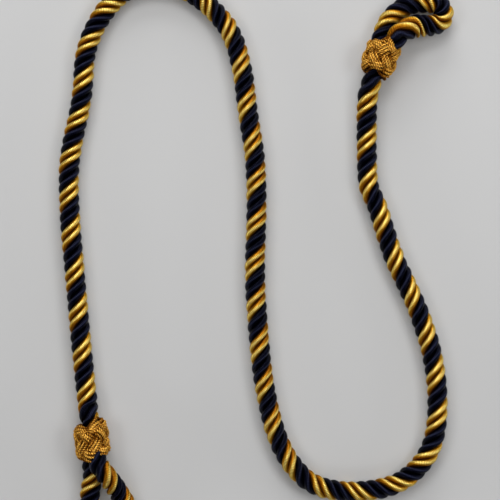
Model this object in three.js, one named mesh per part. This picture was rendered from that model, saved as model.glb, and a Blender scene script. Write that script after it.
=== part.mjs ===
// Lanyard: a thick two-colour rope laid in an S, with a small eye at each end and a woven Turk's head
// knot over each join. Millimetres, +Z up. The surface that it lies on is z = 0, and the origin is in
// the middle of its outline. The strands of the rope are not cut out here: each stretch is its outer form.
import * as THREE from 'three';

// Driving dimensions
const ROPE_DIAMETER = 8;
const ROPE_SIDES = 12;
const KNOT_WIDTH = 14.6;
const KNOT_HEIGHT = 15.6;
const KNOT_LENGTH = 14.4;
const GAP = 0.3;
const LEAD = 2.5;
const CORD_ENTRY_HEIGHT = 7.2;
const MAIN_STEPS = 46;
const EYE_A_STEPS = 18;
const EYE_B_STEPS = 16;

// The weave of a Turk's head: one band runs five times round and touches each rim six times
const LEADS = 5;
const BIGHTS = 6;
const BAND_HALF_WIDTH = 2.0;
const BAND_CROWN = 1.1;
const CROSSING_RISE = 0.35;
const BODY_RADIUS = 5.9;
const RIM_TAPER = 0.6;
const KNOT_SEGMENTS = 60;
const KNOT_ROWS = 18;

// Colours: the navy of the cord, the same navy warmed by the gold strands in the eyes, and gold thread
const CORD_COLOUR = 0x2a2a3a;
const EYE_COLOUR = 0x33304a;
const KNOT_COLOUR = 0xb8801c;
const FABRIC_ROUGHNESS = 0.6;

// Worked out from the sizes above
const ROPE_RADIUS = ROPE_DIAMETER / 2;
const UP = new THREE.Vector3(0, 0, 1);

// Each knot: its centre on the surface plan and the heading of its axis, in degrees, towards its eye
const KNOT_A = { x: 49.7, y: 81.8, heading: 70 };
const KNOT_B = { x: -65.3, y: -70.2, heading: -83 };

// Where the two legs of each eye leave their knot: how far to the left of the heading, and how high
const EYE_A_LOW_LEG = { across: 2.2, height: 4.4 };
const EYE_A_HIGH_LEG = { across: -3.4, height: 10.8 };
const EYE_B_LOW_LEG = { across: -1.5, height: 4.0 };
const EYE_B_HIGH_LEG = { across: 1.9, height: 11.7 };

// Routes between the knots' mouths: x, y and the height of the rope's middle
const MAIN_ROUTE = [
  [44.9, 67.2, 5.2],
  [44.4, 48.0, 4.0],
  [45.4, 30.0, 4.0],
  [48.4, 23.0, 4.0],
  [54.9, 3.2, 4.0],
  [65.2, -19.8, 4.0],
  [70.8, -38.1, 4.0],
  [72.7, -57.0, 4.0],
  [70.6, -72.5, 4.0],
  [64.5, -82.5, 4.0],
  [55.5, -88.7, 4.0],
  [44.5, -91.3, 4.0],
  [33.0, -91.3, 4.0],
  [22.5, -88.2, 4.0],
  [14.6, -80.9, 4.0],
  [8.2, -68.5, 4.0],
  [3.4, -48.5, 4.0],
  [0.6, -22.2, 4.0],
  [-0.3, -4.0, 4.0],
  [0.3, 22.0, 4.0],
  [-0.3, 41.0, 4.0],
  [-3.1, 60.0, 4.0],
  [-5.8, 78.8, 4.0],
  [-10.1, 92.0, 4.0],
  [-17.1, 101.1, 4.0],
  [-27.2, 108.5, 4.0],
  [-39.1, 112.0, 4.0],
  [-51.5, 108.8, 4.0],
  [-60.3, 100.5, 4.0],
  [-67.5, 85.6, 4.0],
  [-69.6, 66.0, 4.0],
  [-74.4, 40.5, 4.0],
  [-74.5, 22.0, 4.0],
  [-71.9, -9.5, 4.0],
  [-68.9, -41.5, 4.0],
  [-67.1, -56.0, 5.4],
];
const EYE_A_ROUTE = [
  [53.5, 97.0, 4.0],
  [56.1, 99.8, 4.0],
  [59.5, 102.2, 4.0],
  [63.3, 103.5, 4.0],
  [66.9, 103.9, 4.2],
  [70.1, 103.8, 4.5],
  [73.7, 102.5, 4.9],
  [75.0, 99.2, 5.3],
  [73.7, 95.9, 5.7],
  [70.1, 94.6, 6.1],
  [66.5, 94.3, 6.8],
  [63.3, 93.9, 7.8],
  [60.8, 93.0, 9.0],
  [58.4, 91.5, 10.1],
];
const EYE_B_ROUTE = [
  [-65.2, -84.6, 4.0],
  [-66.1, -91.0, 4.0],
  [-66.4, -96.2, 4.0],
  [-65.9, -103.0, 4.0],
  [-63.8, -108.8, 4.0],
  [-59.1, -111.5, 4.0],
  [-54.5, -110.2, 4.0],
  [-51.5, -105.8, 4.0],
  [-51.3, -99.6, 4.0],
  [-52.9, -95.0, 4.4],
  [-55.1, -91.0, 5.9],
  [-57.6, -86.9, 8.8],
  [-59.9, -83.4, 10.9],
];

// A smooth route that never dips into the surface. Its section doesn't roll, so the flat facet
// under the rope stays level, and the rope rests on it.
class RopeRoute extends THREE.CatmullRomCurve3 {
  constructor(points) {
    super(points.map((point) => new THREE.Vector3(...point)), false, 'centripetal');
  }

  getPoint(t, target = new THREE.Vector3()) {
    super.getPoint(t, target);
    target.z = Math.max(target.z, ROPE_RADIUS);
    return target;
  }

  computeFrenetFrames(steps) {
    const frames = { tangents: [], normals: [], binormals: [] };
    for (let i = 0; i <= steps; i += 1) {
      const tangent = this.getTangentAt(i / steps);
      const side = new THREE.Vector3().crossVectors(UP, tangent).normalize();
      frames.tangents.push(tangent);
      frames.normals.push(side);
      frames.binormals.push(new THREE.Vector3().crossVectors(tangent, side));
    }
    return frames;
  }
}

// A point in a knot's mouth: along its axis from its middle, to the left of it, and above the surface
function knotPoint(knot, along, across, height) {
  const turn = THREE.MathUtils.degToRad(knot.heading);
  return [
    knot.x + along * Math.cos(turn) - across * Math.sin(turn),
    knot.y + along * Math.sin(turn) + across * Math.cos(turn),
    height,
  ];
}

// The two points that lead a rope squarely out of a knot's end, on the eye's side or the cord's side
function mouth(knot, side, across, height) {
  const face = side * (KNOT_LENGTH / 2 + GAP);
  return [
    knotPoint(knot, face, across, height),
    knotPoint(knot, face + side * LEAD, across, height),
  ];
}

function fabric(color) {
  return new THREE.MeshStandardMaterial({ color, roughness: FABRIC_ROUGHNESS, metalness: 0 });
}

// The rope's section: a regular outline with one flat side down
function ropeSection() {
  const section = new THREE.Shape();
  const corner = ROPE_RADIUS / Math.cos(Math.PI / ROPE_SIDES);
  for (let i = 0; i < ROPE_SIDES; i += 1) {
    const angle = ((i + 0.5) * 2 * Math.PI) / ROPE_SIDES;
    const x = corner * Math.cos(angle);
    const y = corner * Math.sin(angle);
    if (i === 0) section.moveTo(x, y);
    else section.lineTo(x, y);
  }
  section.closePath();
  return section;
}

function rope(name, points, steps, color) {
  const options = { steps, extrudePath: new RopeRoute(points), bevelEnabled: false };
  const mesh = new THREE.Mesh(new THREE.ExtrudeGeometry(ropeSection(), options), fabric(color));
  mesh.name = name;
  return mesh;
}

function mainCord() {
  const points = [
    ...mouth(KNOT_A, -1, 0, CORD_ENTRY_HEIGHT),
    ...MAIN_ROUTE,
    ...mouth(KNOT_B, -1, 0, CORD_ENTRY_HEIGHT).reverse(),
  ];
  return rope('main_cord', points, MAIN_STEPS, CORD_COLOUR);
}

function eye(name, knot, lowLeg, highLeg, route, steps) {
  const points = [
    ...mouth(knot, 1, lowLeg.across, lowLeg.height),
    ...route,
    ...mouth(knot, 1, highLeg.across, highLeg.height).reverse(),
  ];
  return rope(name, points, steps, EYE_COLOUR);
}

// Which way the band passes, at an angle of its swing from rim to rim: 1 over the band that it
// crosses, -1 under it. It crosses at every LEADS-th part of half a swing, but not at the rims.
function overOrUnder(swing) {
  const whole = 2 * LEADS;
  const place = ((((swing * LEADS) / Math.PI) % whole) + whole) % whole;
  let crossing = place - 1;
  if (place < 1) crossing = (place - 1) / 2;
  else if (place > whole - 1) crossing = LEADS * 2 - 3 + (place - whole + 1) / 2;
  else if (place > LEADS + 1) crossing = place - 2;
  else if (place > LEADS - 1) crossing = LEADS - 2 + (place - LEADS + 1) / 2;
  return Math.cos(Math.PI * crossing);
}

// How far the woven band stands out of the knot's body, at an angle round it and a place along it
function bandRelief(angle, along) {
  const reach = KNOT_LENGTH / 2 - BAND_HALF_WIDTH;
  let relief = 0;
  for (let lead = 0; lead < LEADS; lead += 1) {
    const travel = (angle + 2 * Math.PI * lead) / LEADS;
    const middle = reach * Math.cos(BIGHTS * travel);
    const slope = (reach * BIGHTS * Math.sin(BIGHTS * travel)) / (LEADS * BODY_RADIUS);
    const offset = (Math.abs(along - middle) * Math.cos(Math.atan(slope))) / BAND_HALF_WIDTH;
    const crown = BAND_CROWN * Math.sqrt(Math.max(0, 1 - offset ** 2));
    const rise = CROSSING_RISE * overOrUnder(BIGHTS * travel);
    if (offset < 1) relief = Math.max(relief, crown + rise);
  }
  return relief;
}

function knotGeometry() {
  const half = KNOT_LENGTH / 2;
  const profile = [new THREE.Vector2(0, -half)];
  for (let row = 0; row <= KNOT_ROWS; row += 1) {
    const along = half * ((2 * row) / KNOT_ROWS - 1);
    profile.push(new THREE.Vector2(BODY_RADIUS - RIM_TAPER * (along / half) ** 4, along));
  }
  profile.push(new THREE.Vector2(0, half));
  const geometry = new THREE.LatheGeometry(profile, KNOT_SEGMENTS);
  const place = geometry.attributes.position;
  const widest = BODY_RADIUS + BAND_CROWN + CROSSING_RISE;
  for (let i = 0; i < place.count; i += 1) {
    const point = new THREE.Vector3().fromBufferAttribute(place, i);
    const radius = Math.hypot(point.x, point.z) || 1;
    const angle = Math.atan2(point.z, point.x) + Math.PI;
    const grown = (radius + bandRelief(angle, point.y)) / radius;
    const wide = (grown * KNOT_WIDTH) / 2 / widest;
    const high = (grown * KNOT_HEIGHT) / 2 / widest;
    place.setXYZ(i, point.x * wide, point.y, point.z * high);
  }
  return geometry;
}

// A woven barrel, lying on its side with its axis along the heading
function turksHead(name, knot) {
  const mesh = new THREE.Mesh(knotGeometry(), fabric(KNOT_COLOUR));
  mesh.name = name;
  const box = new THREE.Box3().setFromBufferAttribute(mesh.geometry.attributes.position);
  mesh.position.set(knot.x, knot.y, -box.min.z);
  mesh.rotation.z = THREE.MathUtils.degToRad(knot.heading - 90);
  return mesh;
}

const lanyard = new THREE.Group();
lanyard.add(mainCord());
lanyard.add(eye('eye_a', KNOT_A, EYE_A_LOW_LEG, EYE_A_HIGH_LEG, EYE_A_ROUTE, EYE_A_STEPS));
lanyard.add(eye('eye_b', KNOT_B, EYE_B_LOW_LEG, EYE_B_HIGH_LEG, EYE_B_ROUTE, EYE_B_STEPS));
lanyard.add(turksHead('knot_a', KNOT_A));
lanyard.add(turksHead('knot_b', KNOT_B));

export default lanyard;
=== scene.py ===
import math

import bmesh
import bpy
import numpy as np
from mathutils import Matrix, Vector


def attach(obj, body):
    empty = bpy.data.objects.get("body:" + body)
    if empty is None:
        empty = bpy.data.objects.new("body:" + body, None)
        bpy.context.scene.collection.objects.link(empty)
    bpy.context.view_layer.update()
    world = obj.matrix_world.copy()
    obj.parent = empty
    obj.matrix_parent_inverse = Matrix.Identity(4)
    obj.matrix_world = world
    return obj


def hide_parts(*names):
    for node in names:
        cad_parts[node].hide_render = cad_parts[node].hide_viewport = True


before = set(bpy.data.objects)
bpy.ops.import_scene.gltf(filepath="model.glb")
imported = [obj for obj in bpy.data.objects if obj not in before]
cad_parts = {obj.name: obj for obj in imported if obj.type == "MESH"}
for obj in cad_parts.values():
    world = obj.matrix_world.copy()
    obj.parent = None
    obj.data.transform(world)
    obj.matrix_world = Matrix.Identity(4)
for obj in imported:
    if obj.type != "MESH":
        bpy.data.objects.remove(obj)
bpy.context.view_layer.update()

MILLIMETRE = 0.001
UP = np.array([0.0, 0.0, 1.0])

# Cord: CORD_RADIUS is where the crests of its strands lie
CORD_RADIUS = 0.0041
CORD_ENTRY_HEIGHT = 0.0072
RING_SPACING = 0.00034
PATH_SPACING = 0.0015

# Strands: each shows a rounded face that reaches LOBE_REACH round it on both sides of its crest. It
# is wider across the cord than it is thick, because it runs slantwise
STRANDS = 4
GOLD_STRANDS = (0, 1)
STRAND_RADIUS = 0.00175
STRAND_LEAN = 1.16
STRAND_LENGTH_RATIO = 1.38
LOBE_STEPS = 11
LOBE_REACH = math.radians(112)
VALLEY_RADIUS = 0.00200

# How much a strand's fullness and place change along the cord, and over what length
FULLNESS_CHANGE = 0.012
FULLNESS_STEP = 0.011
SHIFT_CHANGE = math.radians(1.6)
SHIFT_STEP = 0.014

# Knots: length between the flat ends, and half the width and the height. A cord starts hidden inside
# a knot, leaves it at a mouth just past the flat end, and runs straight on for a short lead
KNOT_LENGTH = 0.0144
KNOT_HALF_WIDTH = 0.0073
KNOT_HALF_HEIGHT = 0.0077
KNOT_GAP = 0.0003
LEAD = 0.0025
HIDDEN_START = 0.0030
EYE_SIDE = 1
CORD_SIDE = -1

# Each knot: its place, the way its eye lies, and how far its weave is turned round it. A rim stands a
# mean distance from the knot's middle, and more on one side, whose place round the knot is counted
# from the top. It has a tip with a place and a breadth, or a notch where the tip is negative, and
# the knot narrows towards it by its taper
KNOT_A = {
    "x": 0.0497,
    "y": 0.0818,
    "heading": math.radians(70),
    "phase": math.radians(2),
    "eye_rim": {
        "mean": 0.0058,
        "more": 0.0004,
        "more_at": math.radians(90),
        "tip": 0.0024,
        "tip_at": math.radians(2),
        "tip_breadth": math.radians(20),
        "taper": 0.05,
    },
    "cord_rim": {
        "mean": 0.0079,
        "more": 0.0003,
        "more_at": math.radians(135),
        "tip": -0.0016,
        "tip_at": math.radians(-5),
        "tip_breadth": math.radians(35),
        "taper": 0.24,
    },
}
KNOT_B = {
    "x": -0.0653,
    "y": -0.0702,
    "heading": math.radians(-83),
    "phase": math.radians(-15),
    "eye_rim": {
        "mean": 0.0069,
        "more": 0.0007,
        "more_at": math.radians(60),
        "tip": 0.0016,
        "tip_at": math.radians(5),
        "tip_breadth": math.radians(40),
        "taper": 0.02,
    },
    "cord_rim": {
        "mean": 0.0074,
        "more": 0.0014,
        "more_at": math.radians(-60),
        "tip": -0.0026,
        "tip_at": math.radians(12),
        "tip_breadth": math.radians(28),
        "taper": 0.24,
    },
}

# Where the legs of each eye leave their knot: to the left of its heading, and above the floor. Inside
# the knot they are squeezed towards its middle
EYE_A_LOW_LEG = (0.0022, 0.0044)
EYE_A_HIGH_LEG = (-0.0034, 0.0108)
EYE_B_LOW_LEG = (-0.0015, 0.0040)
EYE_B_HIGH_LEG = (0.0019, 0.0117)
LEG_SQUEEZE = 0.72

# Routes between the mouths of the knots
MAIN_ROUTE = [
    (0.0449, 0.0672, 0.0052),
    (0.0444, 0.0480, 0.0040),
    (0.0454, 0.0300, 0.0040),
    (0.0484, 0.0230, 0.0040),
    (0.0549, 0.0032, 0.0040),
    (0.0652, -0.0198, 0.0040),
    (0.0708, -0.0381, 0.0040),
    (0.0727, -0.0570, 0.0040),
    (0.0706, -0.0725, 0.0040),
    (0.0645, -0.0825, 0.0040),
    (0.0555, -0.0887, 0.0040),
    (0.0445, -0.0913, 0.0040),
    (0.0330, -0.0913, 0.0040),
    (0.0225, -0.0882, 0.0040),
    (0.0146, -0.0809, 0.0040),
    (0.0082, -0.0685, 0.0040),
    (0.0034, -0.0485, 0.0040),
    (0.0006, -0.0222, 0.0040),
    (-0.0003, -0.0040, 0.0040),
    (0.0003, 0.0220, 0.0040),
    (-0.0003, 0.0410, 0.0040),
    (-0.0031, 0.0600, 0.0040),
    (-0.0058, 0.0788, 0.0040),
    (-0.0101, 0.0920, 0.0040),
    (-0.0171, 0.1011, 0.0040),
    (-0.0272, 0.1085, 0.0040),
    (-0.0391, 0.1120, 0.0040),
    (-0.0515, 0.1088, 0.0040),
    (-0.0603, 0.1005, 0.0040),
    (-0.0675, 0.0856, 0.0040),
    (-0.0696, 0.0660, 0.0040),
    (-0.0744, 0.0405, 0.0040),
    (-0.0745, 0.0220, 0.0040),
    (-0.0719, -0.0095, 0.0040),
    (-0.0689, -0.0415, 0.0040),
    (-0.0671, -0.0560, 0.0054),
]
EYE_A_ROUTE = [
    (0.0535, 0.0970, 0.0040),
    (0.0561, 0.0998, 0.0040),
    (0.0595, 0.1022, 0.0040),
    (0.0633, 0.1035, 0.0040),
    (0.0669, 0.1039, 0.0042),
    (0.0701, 0.1038, 0.0045),
    (0.0737, 0.1025, 0.0049),
    (0.0750, 0.0992, 0.0053),
    (0.0737, 0.0959, 0.0057),
    (0.0701, 0.0946, 0.0061),
    (0.0665, 0.0943, 0.0068),
    (0.0633, 0.0939, 0.0078),
    (0.0608, 0.0930, 0.0090),
    (0.0584, 0.0915, 0.0101),
]
EYE_B_ROUTE = [
    (-0.0652, -0.0846, 0.0040),
    (-0.0661, -0.0910, 0.0040),
    (-0.0664, -0.0962, 0.0040),
    (-0.0659, -0.1030, 0.0040),
    (-0.0638, -0.1088, 0.0040),
    (-0.0591, -0.1115, 0.0040),
    (-0.0545, -0.1102, 0.0040),
    (-0.0515, -0.1058, 0.0040),
    (-0.0513, -0.0996, 0.0040),
    (-0.0529, -0.0950, 0.0044),
    (-0.0551, -0.0910, 0.0059),
    (-0.0576, -0.0869, 0.0088),
    (-0.0599, -0.0834, 0.0109),
]

# Lay of the strands: how far along a cord the two gold ones first lie on top, then the length of
# every turn. The first and the last turn run into the knots
MAIN_FIRST_GOLD = 0.0160
MAIN_LAYS = [
    0.0220,
    0.0156, 0.0162, 0.0164, 0.0165, 0.0162, 0.0165, 0.0163, 0.0174, 0.0171, 0.0155, 0.0161, 0.0150,
    0.0166, 0.0168, 0.0157, 0.0163, 0.0167, 0.0159, 0.0161, 0.0166, 0.0152, 0.0161, 0.0154, 0.0148,
    0.0140, 0.0145, 0.0154, 0.0147, 0.0160, 0.0152, 0.0158, 0.0152, 0.0153, 0.0154, 0.0161, 0.0158,
    0.0163, 0.0160,
    0.0165,
]
EYE_A_FIRST_GOLD = 0.0141
EYE_A_LAYS = [0.0160, 0.0160, 0.0132, 0.0112, 0.0225]
EYE_B_FIRST_GOLD = 0.0145
EYE_B_LAYS = [0.0168, 0.0142, 0.0158, 0.0160, 0.0143, 0.0180]

# Weave of the knots: a band of four threads goes five times round and touches each rim six times
KNOT_LEADS = 5
KNOT_BIGHTS = 6
THREAD_PASSES = 4
WEAVE_STEPS = 9000
WEAVE_RADIUS = 0.00562
WEAVE_RISE = 0.00062
WEAVE_SQUARENESS = 1.2
WEAVE_REACH = 0.0050
NOMINAL_REACH = 0.00715
BIGHT_BREADTH = 1.2
BAND_CROWN = 0.00045
TAPER_POWER = 2.4

# A hand-laid band wavers by this much across it, and by a part of that in height, in these waves
HAND_WANDER = 0.00010
HAND_RISE = 0.7
HAND_WAVES = (7, 11, 17, 26)

# Thread: two plies, twisted once in each THREAD_TWIST, with a little slack in the twist
PLIES = 2
THREAD_RADIUS = 0.00062
THREAD_SPACING = 0.00106
THREAD_TWIST = 0.0018
THREAD_SIDES = 10
THREAD_STEP = 0.00015
PLY_VALLEY = 0.70
TWIST_SLACK = 0.16
TWIST_SLACK_STEP = 0.005
# How much the outer side of each thread adds to its height out of the weave, which the thread's colour
# turns into a painted highlight
THREAD_RELIEF = 0.55

# Dark winding inside a knot: half its width, length and height, and how square its sides and ends are
CORE_HALF_WIDTH = 0.0057
CORE_HALF_LENGTH = 0.0047
CORE_HALF_HEIGHT = 0.0060
CORE_SIDE_POWER = 0.45
CORE_END_POWER = 0.6
POLE_SPREAD = 1e-6

# Points closer than this are one point
SEAM_GAP = 1e-7

# View: straight down on its middle
VIEW_MIDDLE = (-0.0023, 0.0050)
VIEW_WIDTH = 0.200
CAMERA_HEIGHT = 0.700
SENSOR_WIDTH = 36.0

# Floor and soft boxes: bearing from the top of the view and height in degrees, power in watts, then
# width and length
FLOOR_HALF_WIDTH = 1.5
FLOOR_GREY = 0.515
SKY_STRENGTH = 0.02
LIGHT_DISTANCE = 0.9
LIGHTS = {
    "overhead_light": (0, 82, 1.2, 0.50, 0.50),
    "top_high_light": (2, 50, 2.7, 0.60, 0.26),
    "top_light": (-3, 27, 2.6, 0.50, 0.22),
    "top_low_light": (3, 12, 2.2, 0.60, 0.20),
    "right_light": (82, 54, 2.0, 0.40, 0.30),
    "right_low_light": (100, 13, 1.5, 0.40, 0.20),
    "left_light": (278, 55, 1.5, 0.40, 0.30),
    "left_low_light": (258, 13, 1.2, 0.40, 0.20),
    "near_light": (180, 45, 0.9, 0.40, 0.30),
}


# Routes and smooth lines
def knot_point(knot, along, across, height):
    """A point by a knot: along its axis from its middle, to the left of it, and above the floor."""
    c, s = math.cos(knot["heading"]), math.sin(knot["heading"])
    return (knot["x"] + along * c - across * s, knot["y"] + along * s + across * c, height)


def mouth(knot, side, across, height, inner_across, inner_height):
    """Points that lead a cord out of a knot's end, from a hidden start inside it."""
    face = side * (KNOT_LENGTH / 2 + KNOT_GAP)
    return [
        knot_point(knot, side * HIDDEN_START, inner_across, inner_height),
        knot_point(knot, face, across, height),
        knot_point(knot, face + side * LEAD, across, height),
    ]


def main_route():
    """Out of one knot, along the S, and into the other."""
    out = mouth(KNOT_A, CORD_SIDE, 0, CORD_ENTRY_HEIGHT, 0, KNOT_HALF_HEIGHT)
    back = mouth(KNOT_B, CORD_SIDE, 0, CORD_ENTRY_HEIGHT, 0, KNOT_HALF_HEIGHT)
    return [*out, *MAIN_ROUTE, *reversed(back)]


def eye_route(knot, low_leg, high_leg, between):
    """Out of the knot low, round the eye, and back into the knot high."""
    ends = []
    for across, height in (low_leg, high_leg):
        inner_height = KNOT_HALF_HEIGHT + (height - KNOT_HALF_HEIGHT) * LEG_SQUEEZE
        ends.append(mouth(knot, EYE_SIDE, across, height, across * LEG_SQUEEZE, inner_height))
    return [*ends[0], *between, *reversed(ends[1])]


def span(before, start, end, after, steps=90):
    """One span of a centripetal Catmull-Rom curve, without its last point."""
    gap_in = np.linalg.norm(start - before) ** 0.5
    gap = np.linalg.norm(end - start) ** 0.5
    gap_out = np.linalg.norm(after - end) ** 0.5
    pace = (end - start) / gap
    lead_in = ((start - before) / gap_in - (end - before) / (gap_in + gap) + pace) * gap
    lead_out = (pace - (after - start) / (gap + gap_out) + (after - end) / gap_out) * gap
    t = np.linspace(0, 1, steps, endpoint=False)[:, None]
    return (
        (2 * t**3 - 3 * t**2 + 1) * start
        + (t**3 - 2 * t**2 + t) * lead_in
        + (3 * t**2 - 2 * t**3) * end
        + (t**3 - t**2) * lead_out
    )


def reach_of(line):
    """How far along a line each of its points is."""
    return np.concatenate([[0], np.cumsum(np.linalg.norm(np.diff(line, axis=0), axis=1))])


def even_line(points, spacing):
    """Evenly spaced points on the smooth curve through a route, never lower than the floor allows."""
    p = np.array(points)
    padded = np.vstack([2 * p[0] - p[1], p, 2 * p[-1] - p[-2]])
    line = np.vstack([span(*padded[i : i + 4]) for i in range(len(p) - 1)] + [p[-1:]])
    line[:, 2] = np.maximum(line[:, 2], CORD_RADIUS)
    reach = reach_of(line)
    even = np.linspace(0, reach[-1], round(reach[-1] / spacing) + 1)
    return np.column_stack([np.interp(even, reach, line[:, k]) for k in range(3)])


def upright_frames(line):
    """Left and up directions at each point of a line."""
    along = np.gradient(line, axis=0)
    along /= np.linalg.norm(along, axis=1)[:, None]
    left = np.cross(UP, along)
    left /= np.linalg.norm(left, axis=1)[:, None]
    return left, np.cross(along, left)


def smooth(t):
    """From 0 to 1 with level ends, as t goes from 0 to 1."""
    t = np.clip(t, 0, 1)
    return t * t * (3 - 2 * t)


def wander(rng, reach, step, size):
    """A smooth random value along a length, one new value every step."""
    count = int(reach[-1] / step) + 4
    values = rng.normal(0, size, count)
    place = reach / step
    low = place.astype(int)
    t = smooth(place - low)
    return values[low] * (1 - t) + values[low + 1] * t


# Meshes
def smooth_mesh(bm, name):
    """A finished object from a bmesh, with outward faces and smooth shading."""
    bm.normal_update()
    bmesh.ops.recalc_face_normals(bm, faces=bm.faces)
    mesh = bpy.data.meshes.new(name)
    bm.to_mesh(mesh)
    bm.free()
    mesh.shade_smooth()
    piece = bpy.data.objects.new(name, mesh)
    bpy.context.collection.objects.link(piece)
    return piece


def join_bmesh(parts):
    """One bmesh from several."""
    whole = bmesh.new()
    for bm in parts:
        mesh = bpy.data.meshes.new("pass")
        bm.to_mesh(mesh)
        bm.free()
        whole.from_mesh(mesh)
        bpy.data.meshes.remove(mesh)
    return whole


def rolled_grid(rings, uvs, relief=None):
    """A grid rolled into a tube. rings is one ring of points for each step along, and its last point
    is its first again. uvs gives each point's place on the surface, and relief how far it stands out."""
    steps, across = rings.shape[:2]
    bm = bmesh.new()
    layer = bm.loops.layers.uv.new("UVMap")
    bmesh.ops.create_grid(bm, x_segments=across - 1, y_segments=steps - 1, size=1)
    for vert, place in zip(bm.verts, rings.reshape(-1, 3).tolist()):
        vert.co = place
    flat_uvs = uvs.reshape(-1, 2)
    for face in bm.faces:
        for loop in face.loops:
            loop[layer].uv = flat_uvs[loop.vert.index]
    if relief is not None:
        stands_out = bm.verts.layers.float.new("relief")
        for vert, value in zip(bm.verts, relief.reshape(-1).tolist()):
            vert[stands_out] = value
    seam = [vert for vert in bm.verts if vert.is_boundary]
    bmesh.ops.remove_doubles(bm, verts=seam, dist=SEAM_GAP)
    return bm


# Camera
def look_down():
    """A camera above the middle of the view."""
    data = bpy.data.cameras.new("camera")
    data.sensor_width = SENSOR_WIDTH
    data.lens = SENSOR_WIDTH * (CAMERA_HEIGHT - CORD_RADIUS) / VIEW_WIDTH
    camera = bpy.data.objects.new("camera", data)
    camera.location = (*VIEW_MIDDLE, CAMERA_HEIGHT)
    bpy.context.collection.objects.link(camera)
    bpy.context.scene.camera = camera


look_down()


# Materials
class Nodes:
    """A short way to write a material's nodes."""

    def __init__(self, name):
        self.material = bpy.data.materials.new(name)
        self.material.use_nodes = True
        self.tree = self.material.node_tree
        self.shader = self.tree.nodes["Principled BSDF"]

    def add(self, kind, **settings):
        """A new node. A setting is the value of one of its inputs, or else a choice of its own."""
        node = self.tree.nodes.new(kind)
        for key, value in settings.items():
            if key in node.inputs:
                node.inputs[key].default_value = value
            else:
                setattr(node, key, value)
        return node

    def link(self, source, target):
        """Joins one node's result to another's input."""
        self.tree.links.new(source, target)

    def math(self, operation, first, second=None):
        """The result of a sum on one or two values, each a number or another node's result."""
        node = self.add("ShaderNodeMath", operation=operation)
        for socket, value in zip(node.inputs, (first, second)):
            if isinstance(value, bpy.types.NodeSocket):
                self.link(value, socket)
            elif value is not None:
                socket.default_value = value
        return node.outputs[0]

    def ramp(self, source, stops):
        """A colour for each value, blended between stops that are a place and a colour."""
        node = self.add("ShaderNodeValToRGB")
        while len(node.color_ramp.elements) < len(stops):
            node.color_ramp.elements.new(0.5)
        for element, (place, colour) in zip(node.color_ramp.elements, stops):
            element.position = place
            element.color = (*colour, 1)
        self.link(source, node.inputs["Fac"])
        return node.outputs["Color"]

    def surface_place(self):
        """A point's place on the surface: both values together, then across it and along it."""
        uv = self.add("ShaderNodeUVMap", uv_map="UVMap")
        split = self.add("ShaderNodeSeparateXYZ")
        self.link(uv.outputs["UV"], split.inputs[0])
        return uv.outputs["UV"], split.outputs["X"], split.outputs["Y"]

    def object_place(self):
        """A point's place on the object."""
        return self.add("ShaderNodeTexCoord").outputs["Object"]

    def grain(self, place, scale):
        """Noise from 0 to 1 over a place."""
        noise = self.add("ShaderNodeTexNoise", Scale=scale, Detail=3.0)
        self.link(place, noise.inputs["Vector"])
        return noise.outputs["Fac"]

    def emboss(self, height, strength, distance):
        """Makes the surface look raised where the height is."""
        bump = self.add("ShaderNodeBump", Strength=strength, Distance=distance)
        self.link(height, bump.inputs["Height"])
        self.link(bump.outputs["Normal"], self.shader.inputs["Normal"])

    def finish(self, values):
        """Sets values of the surface that are the same all over it."""
        for key, value in values.items():
            self.shader.inputs[key].default_value = value


# Satin: a strand's colour has a painted highlight a little to one side of the middle of its face, on
# the side the light falls on, and changes from there through the strand's own colour to painted shade
# in the grooves, with a stop for each. The covering thread is wound square to the strand, in wraps that
# waver a little and are streaked with lighter and darker ones. Each wrap is also painted lighter on its
# rib and darker between ribs, as painted light and shade
# Where across the strand the painted highlight sits, and how fast the colour falls away from it
HIGHLIGHT_PLACE = 0.40
HIGHLIGHT_FALL = 2.8
BODY_STOP = 0.34
GROOVE_SHADE_STOP = 0.85
WRAP_PITCH = 0.50
WRAP_SLANT = -52.0
WRAP_WAVER = 1.4
WRAP_HEIGHT = 0.00010
STREAK_SCALE = (0.6, 3.2, 1.0)
STREAK_SHADE = 0.5
WRAP_SHADE = 0.25
# Multipliers on the strand's colour: the streaks change its tone at random, and the wraps darken it
# between ribs and lighten it on them, as painted shade and painted highlight
SHADE_STOPS = [(0.0, (0.10, 0.08, 0.06)), (0.5, (1.7, 1.7, 1.7))]
SHADE_STRENGTH = 0.7


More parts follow.
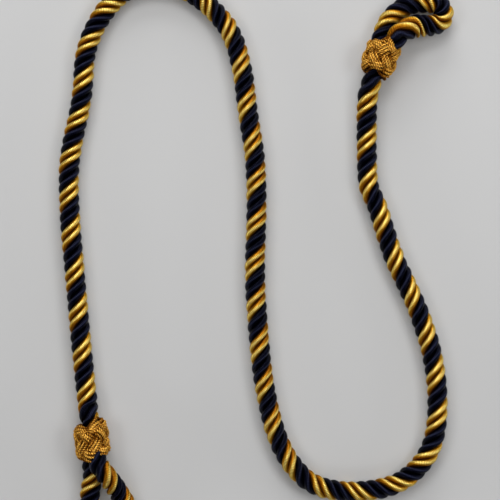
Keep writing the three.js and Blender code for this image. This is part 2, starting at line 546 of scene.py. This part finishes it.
def satin_strand(name, painted_highlight, middle, body, painted_groove_shade, highlight_breadth, wrap_depth, finish):
    """Satin thread wound closely round a strand: colours from a painted highlight near its crest to
    painted shade in its grooves, and wraps with painted light and shade.
    """
    n = Nodes(name)
    place, strand, along = n.surface_place()
    across = n.math("FRACT", strand)
    aside = n.math("SUBTRACT", across, HIGHLIGHT_PLACE)
    from_highlight = n.math("MULTIPLY", n.math("MULTIPLY", aside, aside), HIGHLIGHT_FALL)
    # Stops from a painted highlight, through the strand's own colour, to painted shade in the grooves
    stops = [(0.0, painted_highlight), (highlight_breadth, middle), (BODY_STOP, body), (GROOVE_SHADE_STOP, painted_groove_shade)]
    stretch = n.add("ShaderNodeMapping", Scale=STREAK_SCALE)
    n.link(place, stretch.inputs["Vector"])
    streaks = n.grain(stretch.outputs["Vector"], 1.0)
    waver = n.math("MULTIPLY", n.math("SUBTRACT", streaks, 0.5), WRAP_WAVER)
    phase = n.math("MULTIPLY", along, 2 * math.pi / WRAP_PITCH)
    slant = n.math("MULTIPLY", across, WRAP_SLANT)
    wraps = n.math("SINE", n.math("ADD", n.math("ADD", phase, slant), waver))
    n.emboss(wraps, wrap_depth, WRAP_HEIGHT)
    streak_shade = n.math("MULTIPLY", streaks, STREAK_SHADE)
    # The wraps add painted shade between the ribs and a painted highlight on them
    shade = n.math("ADD", streak_shade, n.math("MULTIPLY", wraps, WRAP_SHADE))
    mix = n.add("ShaderNodeMix", data_type="RGBA", blend_type="MULTIPLY")
    mix.inputs["Factor"].default_value = SHADE_STRENGTH
    n.link(n.ramp(from_highlight, stops), mix.inputs["A"])
    n.link(n.ramp(shade, SHADE_STOPS), mix.inputs["B"])
    n.link(mix.outputs["Result"], n.shader.inputs["Base Color"])
    tangent = n.add("ShaderNodeTangent", direction_type="UV_MAP", uv_map="UVMap")
    n.link(tangent.outputs["Tangent"], n.shader.inputs["Tangent"])
    n.finish({"Anisotropic": 0.9, "Anisotropic Rotation": 0.25})
    n.finish(finish)
    return n.material


# Gold: the first colour is a painted highlight and the last is painted shade in the grooves
gold_satin = satin_strand(
    "gold_satin",
    painted_highlight=(0.86, 0.61, 0.150),
    middle=(0.46, 0.212, 0.008),
    body=(0.26, 0.084, 0.001),
    painted_groove_shade=(0.09, 0.023, 0.0003),
    highlight_breadth=0.11,
    wrap_depth=0.4,
    finish={"Metallic": 0.82, "Roughness": 0.31, "IOR": 1.5, "Specular Tint": (1.0, 0.82, 0.40, 1)},
)
# Navy: the first colour is a painted highlight along the crest and the last is painted shade in the
# grooves
navy_satin = satin_strand(
    "navy_satin",
    painted_highlight=(0.012, 0.014, 0.031),
    middle=(0.001, 0.001, 0.004),
    body=(0.0005, 0.0005, 0.002),
    painted_groove_shade=(0.0004, 0.0004, 0.001),
    highlight_breadth=0.03,
    wrap_depth=0.5,
    finish={"Metallic": 0.0, "Roughness": 0.18, "IOR": 1.16, "Specular Tint": (0.42, 0.48, 0.95, 1)},
)


# Cord
def turns_at(reach, first, lays):
    """How many turns the strands have made at each length. lays lists the length of each turn: the
    first and the last one lie outside the marks, where the cord runs into its knots."""
    marks = first + np.concatenate([[0], np.cumsum(lays[1:-1])])
    inside = np.interp(reach, marks, np.arange(len(marks), dtype=float))
    before = np.minimum(reach - marks[0], 0) / lays[0]
    after = np.maximum(reach - marks[-1], 0) / lays[-1]
    return inside + before + after


def size_along(reach, squeezed, grip, swell_at, swell_length, swell):
    """The cord's size along it: full, squeezed where the knots grip it, and swollen at one place."""
    inside = np.minimum(reach, reach[-1] - reach)
    gripped = squeezed + (1 - squeezed) * smooth(inside / grip)
    return gripped * (1 + swell * np.exp(-(((reach - swell_at) / swell_length) ** 2)))


def lobe_outline():
    """One strand's face in the cord's section: its radius, its angle and how far across it lies."""
    swing = np.linspace(-LOBE_REACH, LOBE_REACH, LOBE_STEPS + 1)
    out = CORD_RADIUS - STRAND_RADIUS + STRAND_RADIUS * np.cos(swing)
    across = STRAND_RADIUS * STRAND_LEAN * np.sin(swing)
    radius = np.append(np.hypot(out, across), VALLEY_RADIUS)
    half_face = math.pi / STRANDS
    angle = np.arctan2(across, out)
    angle *= half_face / angle[-1]
    return radius, np.append(angle, half_face), np.append(swing / LOBE_REACH, 1)


def strand_faces(reach, rng):
    """The radius and the angle of every point of every ring, strand by strand, and its place: the
    strand's number and, after the point, how far across the strand it is."""
    radius, angle, place = lobe_outline()
    window = np.cos(place * math.pi / 2)
    radii, angles, places = [], [], []
    for strand in range(STRANDS):
        fullness = wander(rng, reach, FULLNESS_STEP, FULLNESS_CHANGE)
        shift = wander(rng, reach, SHIFT_STEP, SHIFT_CHANGE)
        middle = (strand - 0.5) * 2 * math.pi / STRANDS
        radii.append(radius * (1 + fullness[:, None] * window))
        angles.append(middle + angle + shift[:, None] * window)
        places.append(np.broadcast_to(strand + (place + 1) / 2, (len(reach), len(place))))
    return [np.concatenate(columns, axis=1) for columns in (radii, angles, places)]


def colour_strands(bm):
    """Gives each face the first material where its strand is gold, and else the second."""
    layer = bm.loops.layers.uv.active
    for face in bm.faces:
        strand = sum(loop[layer].uv.x for loop in face.loops) / len(face.loops)
        face.material_index = 0 if int(strand) in GOLD_STRANDS else 1


def twisted_cord(name, line, turns, size, seed):
    """The four strands of a cord as one closed surface, with a deep valley between neighbours."""
    reach = reach_of(line)
    left, up = upright_frames(line)
    radius, angle, across = strand_faces(reach, np.random.default_rng(seed))
    radius = radius * size[:, None]
    angle = angle - 2 * math.pi * turns[:, None]
    toward_up = (radius * np.cos(angle))[:, :, None] * up[:, None, :]
    toward_left = (radius * np.sin(angle))[:, :, None] * left[:, None, :]
    rings = line[:, None, :] + toward_up + toward_left
    travel = reach / MILLIMETRE * STRAND_LENGTH_RATIO
    uvs = np.stack([across, np.broadcast_to(travel[:, None], across.shape)], axis=2)
    last_uv = uvs[:, :1].copy()
    last_uv[:, :, 0] = STRANDS
    closed_rings = np.concatenate([rings, rings[:, :1]], axis=1)
    bm = rolled_grid(closed_rings, np.concatenate([uvs, last_uv], axis=1))
    ends = [edge for edge in bm.edges if edge.is_boundary]
    bmesh.ops.holes_fill(bm, edges=ends, sides=0)
    colour_strands(bm)
    return smooth_mesh(bm, name)


def make_cord(
    name,
    node,
    route,
    first_gold,
    lays,
    squeezed,
    grip,
    seed,
    swell_at=0.0,
    swell_length=1.0,
    swell=0.0,
):
    """One stretch of cord, with its strands; its path is worked out but not used. Its ends are squeezed
    to a part of their size over the length that the knots grip, and it can swell a little at one place."""
    line = even_line(route, RING_SPACING)
    reach = reach_of(line)
    size = size_along(reach, squeezed, grip, swell_at, swell_length, swell)
    piece = twisted_cord(name, line, turns_at(reach, first_gold, np.array(lays)), size, seed)
    piece.data.materials.append(gold_satin)
    piece.data.materials.append(navy_satin)
    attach(piece, "root")
    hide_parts(node)
    path = line[:: round(PATH_SPACING / RING_SPACING)].tolist()
    if path[-1] != line[-1].tolist():
        path.append(line[-1].tolist())


make_cord(
    "main_cord_strands",
    node="main_cord",
    route=main_route(),
    first_gold=MAIN_FIRST_GOLD,
    lays=MAIN_LAYS,
    squeezed=0.78,
    grip=0.0090,
    seed=11,
)
make_cord(
    "eye_a_strands",
    node="eye_a",
    route=eye_route(KNOT_A, EYE_A_LOW_LEG, EYE_A_HIGH_LEG, EYE_A_ROUTE),
    first_gold=EYE_A_FIRST_GOLD,
    lays=EYE_A_LAYS,
    squeezed=0.78,
    grip=0.0065,
    seed=12,
    swell_at=0.0545,
    swell_length=0.0065,
    swell=0.14,
)
make_cord(
    "eye_b_strands",
    node="eye_b",
    route=eye_route(KNOT_B, EYE_B_LOW_LEG, EYE_B_HIGH_LEG, EYE_B_ROUTE),
    first_gold=EYE_B_FIRST_GOLD,
    lays=EYE_B_LAYS,
    squeezed=0.72,
    grip=0.0090,
    seed=13,
)


# Knots
def rim_reach(turn, rim):
    """How far a rim stands from the knot's middle, at a turn round it."""
    off = (turn - rim["tip_at"] + math.pi) % (2 * math.pi) - math.pi
    tip = rim["tip"] * np.exp(-((off / rim["tip_breadth"]) ** 2))
    return rim["mean"] + rim["more"] * np.cos(turn - rim["more_at"]) + tip


def over_and_under(swing):
    """Which way the band passes at each crossing: 1 over, -1 under, and smoothly in between."""
    place = swing / (math.pi / KNOT_LEADS)
    crossings = [j for j in range(1, 2 * KNOT_LEADS) if j != KNOT_LEADS]
    marks = [-1, *crossings, 2 * KNOT_LEADS + 1]
    step = np.interp(place % (2 * KNOT_LEADS), marks, np.arange(len(marks)) - 1.0)
    return np.cos(math.pi * step)


def ripple(t, waves, size, rng):
    """A wave round the band with a random height and start."""
    return size * rng.normal() * np.cos(waves * t + rng.uniform(0, 2 * math.pi))


def woven_line(offset, knot, rng):
    """One pass of thread round a Turk's head, beside the middle of its band by the offset. Each point
    has its place and how far it rises out of the weave."""
    t = np.linspace(0, 2 * math.pi, WEAVE_STEPS, endpoint=False)
    sway = np.tanh(BIGHT_BREADTH * np.cos(KNOT_BIGHTS * t))
    along = WEAVE_REACH * sway / math.tanh(BIGHT_BREADTH)
    sway_pace = (1 - sway**2) * BIGHT_BREADTH * -KNOT_BIGHTS * np.sin(KNOT_BIGHTS * t)
    along_pace = WEAVE_REACH * sway_pace / math.tanh(BIGHT_BREADTH)
    round_pace = KNOT_LEADS * WEAVE_RADIUS
    pace = np.hypot(round_pace, along_pace)
    half_band = THREAD_SPACING * (THREAD_PASSES - 1) / 2
    crown = BAND_CROWN * (1 - (offset / half_band) ** 2)
    for waves in HAND_WAVES:
        offset = offset + ripple(t, waves, HAND_WANDER, rng)
        crown = crown + ripple(t, waves, HAND_RISE * HAND_WANDER, rng)
    turn = KNOT_LEADS * t - offset * along_pace / pace / WEAVE_RADIUS + knot["phase"]
    along = along + offset * round_pace / pace
    wave = np.tanh(WEAVE_SQUARENESS * over_and_under(KNOT_BIGHTS * t)) / math.tanh(WEAVE_SQUARENESS)
    rise = WEAVE_RISE * wave + crown
    eye_rim, cord_rim = knot["eye_rim"], knot["cord_rim"]
    eye_share = smooth(along / NOMINAL_REACH / 2 + 0.5)
    cord_share = 1 - eye_share
    taper = cord_rim["taper"] * cord_share + eye_rim["taper"] * eye_share
    reach = rim_reach(turn, cord_rim) * cord_share + rim_reach(turn, eye_rim) * eye_share
    radius = WEAVE_RADIUS * (1 - taper * (np.abs(along) / NOMINAL_REACH) ** TAPER_POWER) + rise
    height = radius * np.cos(turn) * KNOT_HALF_HEIGHT / KNOT_HALF_WIDTH
    return np.column_stack([radius * np.sin(turn), along * reach / NOMINAL_REACH, height, rise])


def thread_rings(line, rng):
    """A two-ply thread along a closed line: rings of points with two lobes that turn as they go, their
    places on the thread's surface, and how far each point stands out of the weave."""
    closed = np.vstack([line, line[:1]])
    reach = reach_of(closed[:, :3])
    even = np.linspace(0, reach[-1], round(reach[-1] / THREAD_STEP) + 1)
    middle = np.column_stack([np.interp(even, reach, closed[:, k]) for k in range(3)])
    ahead = np.roll(middle[:-1], -1, axis=0) - np.roll(middle[:-1], 1, axis=0)
    along = ahead / np.linalg.norm(ahead, axis=1)[:, None]
    along = np.vstack([along, along[:1]])
    out = middle * np.array([1, 0, 1])
    out -= (out * along).sum(1)[:, None] * along
    out /= np.linalg.norm(out, axis=1)[:, None]
    side = np.cross(along, out)
    slack = wander(rng, even, TWIST_SLACK_STEP, TWIST_SLACK) * np.sin(math.pi * even / reach[-1])
    twists = round(reach[-1] / THREAD_TWIST)
    twisted = (twists * even / reach[-1] + slack + rng.uniform())[:, None]
    swing = np.linspace(0, 2 * math.pi, THREAD_SIDES + 1)
    lobes = np.cos(PLIES / 2 * (swing - 2 * math.pi * twisted)) ** 2
    radius = THREAD_RADIUS * (PLY_VALLEY + (1 - PLY_VALLEY) * lobes)
    toward_out = (radius * np.cos(swing))[:, :, None] * out[:, None, :]
    toward_side = (radius * np.sin(swing))[:, :, None] * side[:, None, :]
    rings = middle[:, None, :] + toward_out + toward_side
    u = np.broadcast_to(swing / (2 * math.pi), radius.shape)
    v = np.broadcast_to(twisted, radius.shape)
    rise = np.interp(even, reach, closed[:, 3])[:, None]
    return rings, np.stack([u, v], axis=2), rise + THREAD_RELIEF * radius * np.cos(swing)


# Gold thread: how much the height in the weave and the plies lighten it, as a painted highlight on
# raised parts and painted shade on sunken ones and where the plies meet, how much random patches change
# its tone, and its colours
RELIEF_SHADE = 470.0
PLY_SHADE = 0.22
PATCH_SHADE = 0.88
PATCH_SCALE = 1100.0
BASE_SHADE = 0.17
# From painted shade, through the thread's own gold, to a painted highlight
THREAD_STOPS = [
    (0.12, (0.07, 0.018, 0.0002)),
    (0.50, (0.25, 0.075, 0.001)),
    (0.96, (0.97, 0.54, 0.090)),
]
FIBRES = 8
FIBRE_DEPTH = 0.5
FIBRE_HEIGHT = 0.00005

# Winding inside a knot, coloured near black as painted shade between the threads
CORE_GRAIN_SCALE = 1500.0
CORE_STOPS = [(0.3, (0.06, 0.017, 0.0003)), (0.7, (0.13, 0.042, 0.0006))]


def gold_thread_material():
    """Two-ply gold thread: a painted highlight along each ply and where it stands high in the weave,
    and painted shade where the two plies meet and where it sinks under the weave.
    """
    n = Nodes("gold_thread")
    _, across, along = n.surface_place()
    ply_light_and_shade = n.math("COSINE", n.math("MULTIPLY", n.math("SUBTRACT", across, along), 2 * math.pi * PLIES))
    patches = n.math("SUBTRACT", n.grain(n.object_place(), PATCH_SCALE), 0.5)
    relief = n.add("ShaderNodeAttribute", attribute_name="relief")
    # Higher parts of the weave get a painted highlight and lower parts painted shade
    shade = n.math("MULTIPLY", relief.outputs["Fac"], RELIEF_SHADE)
    shade = n.math("ADD", shade, n.math("MULTIPLY", ply_light_and_shade, PLY_SHADE))
    shade = n.math("ADD", shade, n.math("MULTIPLY", patches, PATCH_SHADE))
    shade = n.math("ADD", shade, BASE_SHADE)
    n.link(n.ramp(shade, THREAD_STOPS), n.shader.inputs["Base Color"])
    slope = n.math("MULTIPLY", n.math("ADD", across, along), 2 * math.pi * FIBRES)
    n.emboss(n.math("SINE", slope), FIBRE_DEPTH, FIBRE_HEIGHT)
    n.finish({"Metallic": 0.8, "Roughness": 0.33, "Specular Tint": (1.0, 0.75, 0.3, 1)})
    return n.material


def core_shade_material():
    """The winding inside a knot, coloured a dull dark brown as painted shade between the threads, with a
    fine grain.
    """
    n = Nodes("knot_core")
    grain = n.grain(n.object_place(), CORE_GRAIN_SCALE)
    n.link(n.ramp(grain, CORE_STOPS), n.shader.inputs["Base Color"])
    n.finish({"Roughness": 0.8, "IOR": 1.15})
    return n.material


gold_thread = gold_thread_material()
core_shade = core_shade_material()


def place_on_knot(points, knot):
    """Turns points from the knot's own axes, with +Y along it, to their place on the lanyard."""
    turn = knot["heading"] - math.pi / 2
    c, s = math.cos(turn), math.sin(turn)
    x = knot["x"] + points[..., 0] * c - points[..., 1] * s
    y = knot["y"] + points[..., 0] * s + points[..., 1] * c
    return np.stack([x, y, points[..., 2] + KNOT_HALF_HEIGHT], axis=-1)


def turks_head(name, knot, node, seed):
    """The woven thread of a knot: four passes side by side."""
    rng = np.random.default_rng(seed)
    passes = []
    for i in range(THREAD_PASSES):
        offset = (i - (THREAD_PASSES - 1) / 2) * THREAD_SPACING
        rings, uvs, relief = thread_rings(woven_line(offset, knot, rng), rng)
        passes.append(rolled_grid(place_on_knot(rings, knot), uvs, relief))
    piece = smooth_mesh(join_bmesh(passes), name)
    piece.data.materials.append(gold_thread)
    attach(piece, "root")
    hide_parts(node)


def knot_core(name, knot):
    """The winding that shows between the threads: a sphere drawn out to a barrel."""
    bm = bmesh.new()
    bmesh.ops.create_uvsphere(bm, u_segments=40, v_segments=24, radius=1)
    for vert in bm.verts:
        x, y, z = vert.co
        spread = math.hypot(x, y)
        fill = spread ** (CORE_SIDE_POWER - 1) if spread > POLE_SPREAD else 0
        bulge = math.copysign(abs(z) ** CORE_END_POWER, z)
        place = (x * fill * CORE_HALF_WIDTH, bulge * CORE_HALF_LENGTH, y * fill * CORE_HALF_HEIGHT)
        vert.co = place_on_knot(np.array(place), knot)
    piece = smooth_mesh(bm, name)
    # The winding's near-black colour is painted shade in the gaps between the threads
    piece.data.materials.append(core_shade)
    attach(piece, "root")


turks_head("knot_a_thread", KNOT_A, "knot_a", 21)
turks_head("knot_b_thread", KNOT_B, "knot_b", 22)
knot_core("knot_a_core", KNOT_A)
knot_core("knot_b_core", KNOT_B)


# Floor and light
def pale_floor():
    """A plain pale floor under the lanyard."""
    bm = bmesh.new()
    bmesh.ops.create_grid(bm, x_segments=1, y_segments=1, size=FLOOR_HALF_WIDTH)
    mesh = bpy.data.meshes.new("floor")
    bm.to_mesh(mesh)
    bm.free()
    floor = bpy.data.objects.new("floor", mesh)
    bpy.context.collection.objects.link(floor)
    n = Nodes("floor_matt")
    n.finish({"Base Color": (FLOOR_GREY, FLOOR_GREY, FLOOR_GREY, 1), "Roughness": 0.85})
    mesh.materials.append(n.material)


def soft_light(name, bearing, height, power, wide, tall):
    """A soft box that faces the middle of the view."""
    data = bpy.data.lights.new(name, "AREA")
    data.shape = "RECTANGLE"
    data.size = wide
    data.size_y = tall
    data.energy = power
    lamp = bpy.data.objects.new(name, data)
    bearing, height = math.radians(bearing), math.radians(height)
    level = LIGHT_DISTANCE * math.cos(height)
    lamp.location = (
        VIEW_MIDDLE[0] + level * math.sin(bearing),
        VIEW_MIDDLE[1] + level * math.cos(bearing),
        LIGHT_DISTANCE * math.sin(height),
    )
    aim = Vector((*VIEW_MIDDLE, 0)) - lamp.location
    lamp.rotation_euler = aim.to_track_quat("-Z", "Y").to_euler()
    bpy.context.collection.objects.link(lamp)


def studio():
    """Soft boxes all round under a dim white sky."""
    world = bpy.data.worlds.new("studio")
    world.use_nodes = True
    sky = world.node_tree.nodes["Background"]
    sky.inputs["Color"].default_value = (1, 1, 1, 1)
    sky.inputs["Strength"].default_value = SKY_STRENGTH
    bpy.context.scene.world = world
    for name, place_and_size in LIGHTS.items():
        soft_light(name, *place_and_size)
    bpy.context.scene.view_settings.view_transform = "Standard"


pale_floor()
studio()
